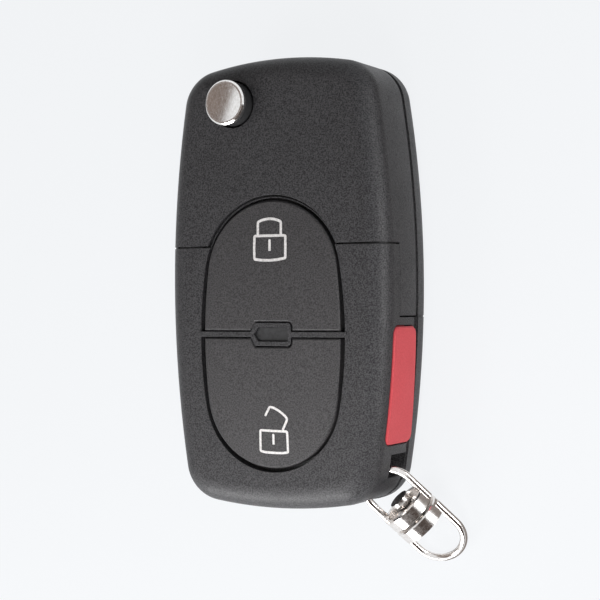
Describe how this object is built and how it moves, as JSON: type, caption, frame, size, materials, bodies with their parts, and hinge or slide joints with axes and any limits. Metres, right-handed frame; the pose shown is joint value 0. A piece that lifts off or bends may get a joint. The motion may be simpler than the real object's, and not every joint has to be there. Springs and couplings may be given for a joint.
{
  "type": "flip key remote shell",
  "caption": "Folding car key shell: two face buttons, red side button, sprung hinge button, flip-out steel blade and a swivel link for a key ring.",
  "frame": {"origin": "middle of the flat back face, which the key lies on, midway between the widest points of the two sides", "axes": "+Z out of the face buttons, +Y along the key towards the blade's hinge, +X towards the red side button"},
  "size_m": [0.0457, 0.0789, 0.0198],
  "materials": {
    "cover_black": "fine spark-eroded texture",
    "button_black": "soft satin",
    "alarm_red": "satin",
    "inner_plastic": "plain moulded",
    "mat_rubber": "matt",
    "smoked_window": "smoked, polished",
    "blade_steel": "milled",
    "hub_metal": "die-cast, dull",
    "cap_metal": "satin",
    "swivel_chrome": "polished",
    "sign_print": "pad-printed",
    "spring_steel": "drawn wire"
  },
  "bodies": {
    "casing": {"head_front_cover": "cover_black", "head_back_cover": "cover_black", "remote_front_cover": "cover_black", "remote_back_cover": "cover_black", "keypad_mat": "mat_rubber", "light_window": "smoked_window", "board_carrier": "inner_plastic", "transponder_plug": "inner_plastic", "head_screws": "spring_steel"},
    "lock": {"lock_button": "button_black"},
    "unlock": {"unlock_button": "button_black"},
    "alarm": {"alarm_button": "alarm_red"},
    "blade": {"blade_hub": "hub_metal", "key_blade": "blade_steel", "blade_pin": "spring_steel", "flip_spring": "spring_steel"},
    "release": {"release_stem": "inner_plastic", "release_cap": "cap_metal"},
    "link": {"swivel_inner_link": "swivel_chrome", "swivel_rivet": "swivel_chrome"},
    "ring_link": {"swivel_outer_link": "swivel_chrome"}
  },
  "joints": [
    {"name": "blade_flip", "type": "hinge", "parent": "casing", "child": "blade", "pos_m": [-0.00668, 0.02803, 0.0082], "axis": [0, 0, -1], "range_deg": [0, 180]},
    {"name": "release_press", "type": "slide", "parent": "blade", "child": "release", "axis": [0, 0, -1], "range_m": [0, 0.0018], "stiffness_N_per_m": 1500, "springref_m": -0.001, "deforming": ["flip_spring"]},
    {"name": "lock_press", "type": "slide", "parent": "casing", "child": "lock", "axis": [0, 0, -1], "range_m": [0, 0.0005], "stiffness_N_per_m": 2000, "springref_m": -0.0005},
    {"name": "unlock_press", "type": "slide", "parent": "casing", "child": "unlock", "axis": [0, 0, -1], "range_m": [0, 0.0005], "stiffness_N_per_m": 2000, "springref_m": -0.0005},
    {"name": "alarm_press", "type": "slide", "parent": "casing", "child": "alarm", "axis": [-1, 0, 0], "range_m": [0, 0.0005], "stiffness_N_per_m": 2000, "springref_m": -0.0005},
    {"name": "bail_swing", "type": "hinge", "parent": "casing", "child": "link", "pos_m": [0.01604, -0.03242, 0.00785], "axis": [0, 0, 1], "range_deg": [-35, 40]},
    {"name": "swivel_spin", "type": "hinge", "parent": "link", "child": "ring_link", "pos_m": [0.01889, -0.03597, 0.00538], "axis": [0.5507, -0.6849, -0.4772], "continuous": true}
  ]
}
